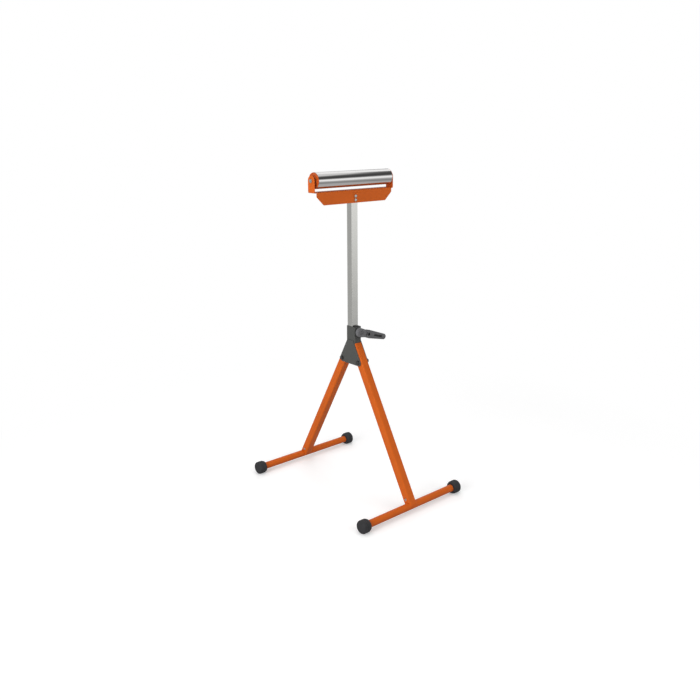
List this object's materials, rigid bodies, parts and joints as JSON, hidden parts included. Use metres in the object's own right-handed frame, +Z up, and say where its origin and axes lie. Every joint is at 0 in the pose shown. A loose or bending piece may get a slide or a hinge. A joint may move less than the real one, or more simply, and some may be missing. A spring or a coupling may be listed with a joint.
{
  "type": "roller stand",
  "caption": "Folding roller stand with a steel work-support roller on a clamped square mast, two swing-out legs and round foot bars with rubber caps.",
  "frame": {"origin": "on the floor, midway between the four rubber feet", "axes": "+Z up along the mast, +X along the roller and the foot bars towards the clamping lever, +Y towards the rear leg"},
  "size_m": [0.439, 0.6068, 1.069],
  "materials": {
    "orange_paint": "orange powder coat, satin",
    "orange_plastic": "orange moulded nylon, satin",
    "roller_chrome": "bright chrome plate",
    "mast_chrome": "satin chrome plate on square tube",
    "grey_paint": "dark grey powder coat",
    "lever_paint": "dark grey painted casting",
    "grip_plastic": "dark grey moulded plastic",
    "cap_rubber": "dark grey moulded rubber",
    "black_plastic": "black moulded nylon",
    "black_steel": "blackened steel fasteners",
    "zinc_plate": "bright zinc plate",
    "bearing_steel": "ground bearing steel",
    "ball_cage": "balls in a pressed brass cage"
  },
  "bodies": {
    "base": {"clamp_sleeve": "grey_paint", "clamp_boss": "grey_paint", "gusset_plate_left": "grey_paint", "gusset_plate_right": "grey_paint", "pivot_bolt_front": "black_steel", "pivot_bolt_rear": "black_steel", "pivot_nut_front": "black_steel", "pivot_nut_rear": "black_steel"},
    "mast": {"mast_column": "mast_chrome", "mast_foot": "black_plastic", "head_bracket": "orange_paint", "head_bolt_1": "zinc_plate", "head_bolt_2": "zinc_plate", "head_nut_1": "zinc_plate", "head_nut_2": "zinc_plate", "roller_axle": "zinc_plate", "axle_spacer_left": "zinc_plate", "axle_spacer_right": "zinc_plate", "bearing_inner_ring_left": "bearing_steel", "bearing_inner_ring_right": "bearing_steel"},
    "roller": {"roller_tube": "roller_chrome", "end_plug_left": "orange_plastic", "end_plug_right": "orange_plastic", "bearing_outer_ring_left": "bearing_steel", "bearing_outer_ring_right": "bearing_steel", "bearing_balls_left": "ball_cage", "bearing_balls_right": "ball_cage"},
    "shoe": {"clamp_shoe": "black_plastic"},
    "lever": {"clamp_screw": "zinc_plate", "lever_arm": "lever_paint", "lever_grip": "grip_plastic", "lever_button": "black_plastic"},
    "front_leg": {"front_leg_tube": "orange_paint", "front_leg_insert": "black_plastic", "front_foot_screw": "zinc_plate", "front_pivot_spacer": "zinc_plate", "front_foot_bar": "orange_paint", "front_foot_cap_left": "cap_rubber", "front_foot_cap_right": "cap_rubber"},
    "rear_leg": {"rear_leg_tube": "orange_paint", "rear_leg_insert": "black_plastic", "rear_foot_screw": "zinc_plate", "rear_pivot_spacer": "zinc_plate", "rear_foot_bar": "orange_paint", "rear_foot_cap_left": "cap_rubber", "rear_foot_cap_right": "cap_rubber"}
  },
  "joints": [
    {"name": "mast_height", "type": "slide", "parent": "base", "child": "mast", "axis": [0, 0, 1], "range_m": [-0.401, 0.029]},
    {"name": "roller_spin", "type": "hinge", "parent": "mast", "child": "roller", "pos_m": [0, 0.0055, 1.044], "axis": [1, 0, 0], "continuous": true},
    {"name": "front_leg_fold", "type": "hinge", "parent": "base", "child": "front_leg", "pos_m": [0, -0.0405, 0.4526], "axis": [1, 0, 0], "range_deg": [0, 29]},
    {"name": "rear_leg_fold", "type": "hinge", "parent": "base", "child": "rear_leg", "pos_m": [0, 0.0405, 0.4526], "axis": [1, 0, 0], "range_deg": [-29, 0]},
    {"name": "clamp_advance", "type": "slide", "parent": "base", "child": "shoe", "axis": [0, -1, 0], "range_m": [0, 0.00063]},
    {"name": "lever_turn", "type": "hinge", "parent": "shoe", "child": "lever", "pos_m": [0, -0.026, 0.551], "axis": [0, -1, 0], "range_deg": [0, 180]}
  ],
  "couplings": [
    {"joint": "clamp_advance", "follows": "lever_turn", "m_per_rad": 0.00019894}
  ]
}
